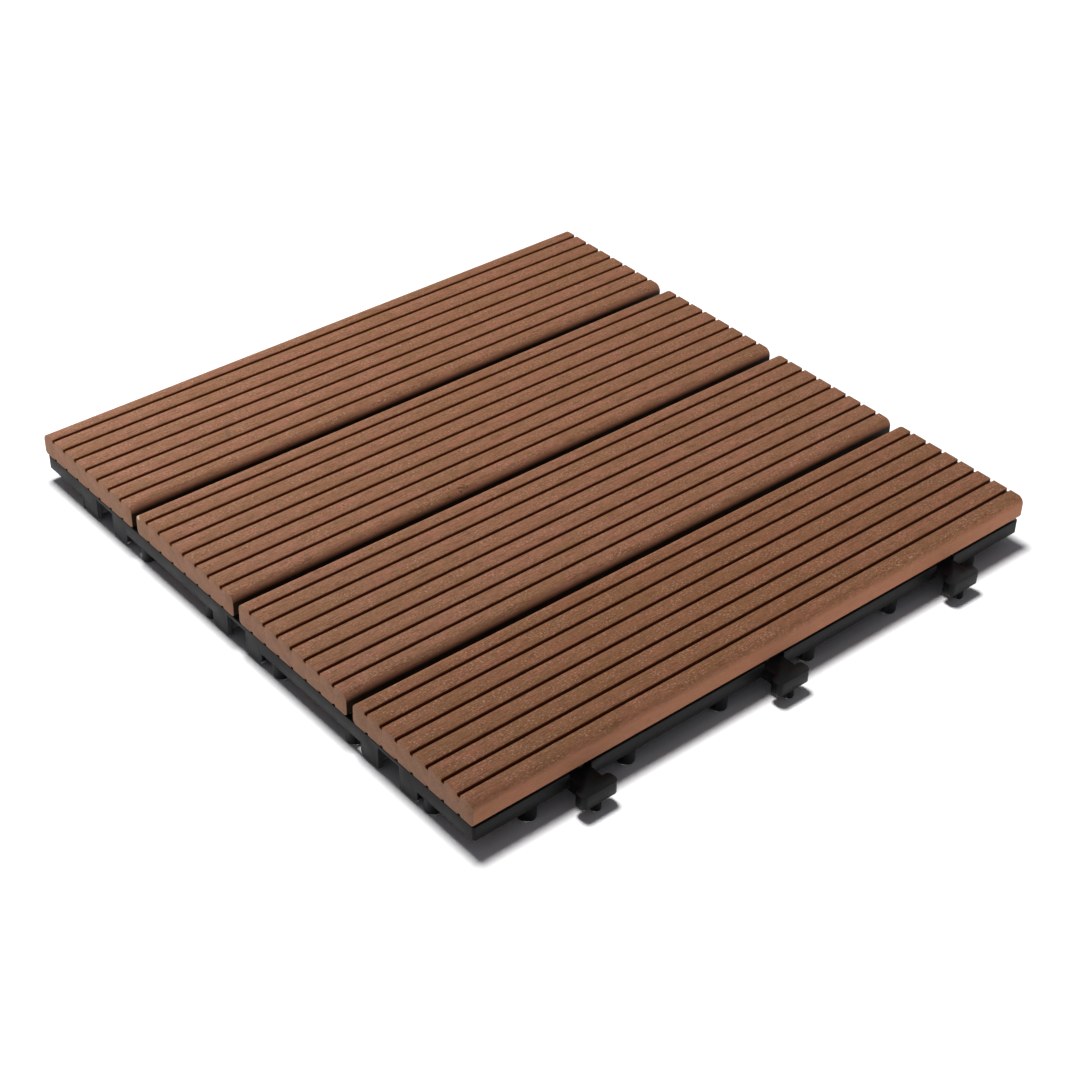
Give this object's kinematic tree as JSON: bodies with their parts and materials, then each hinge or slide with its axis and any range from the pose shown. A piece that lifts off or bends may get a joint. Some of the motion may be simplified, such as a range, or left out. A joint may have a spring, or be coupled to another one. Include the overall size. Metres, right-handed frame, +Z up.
{
  "type": "interlocking deck tile",
  "caption": "Square outdoor deck tile of grooved wood-plastic slats screwed to a black moulded grid with tabs and sockets that clip to the next tile.",
  "frame": {"origin": "middle of the square grid in plan, on the ground plane that the feet stand on", "axes": "+X along the slats towards the right side with tabs, +Y across the slats towards the back side with sockets, +Z up"},
  "size_m": [0.3115, 0.3115, 0.025],
  "materials": {
    "composite": "brushed wood-plastic composite",
    "black_plastic": "matte moulded",
    "screw_steel": "zinc plated"
  },
  "bodies": {
    "root": {"base_grid": "black_plastic", "slat_1": "composite", "slat_1_screws": "screw_steel", "slat_2": "composite", "slat_2_screws": "screw_steel", "slat_3": "composite", "slat_3_screws": "screw_steel", "slat_4": "composite", "slat_4_screws": "screw_steel"}
  },
  "joints": []
}
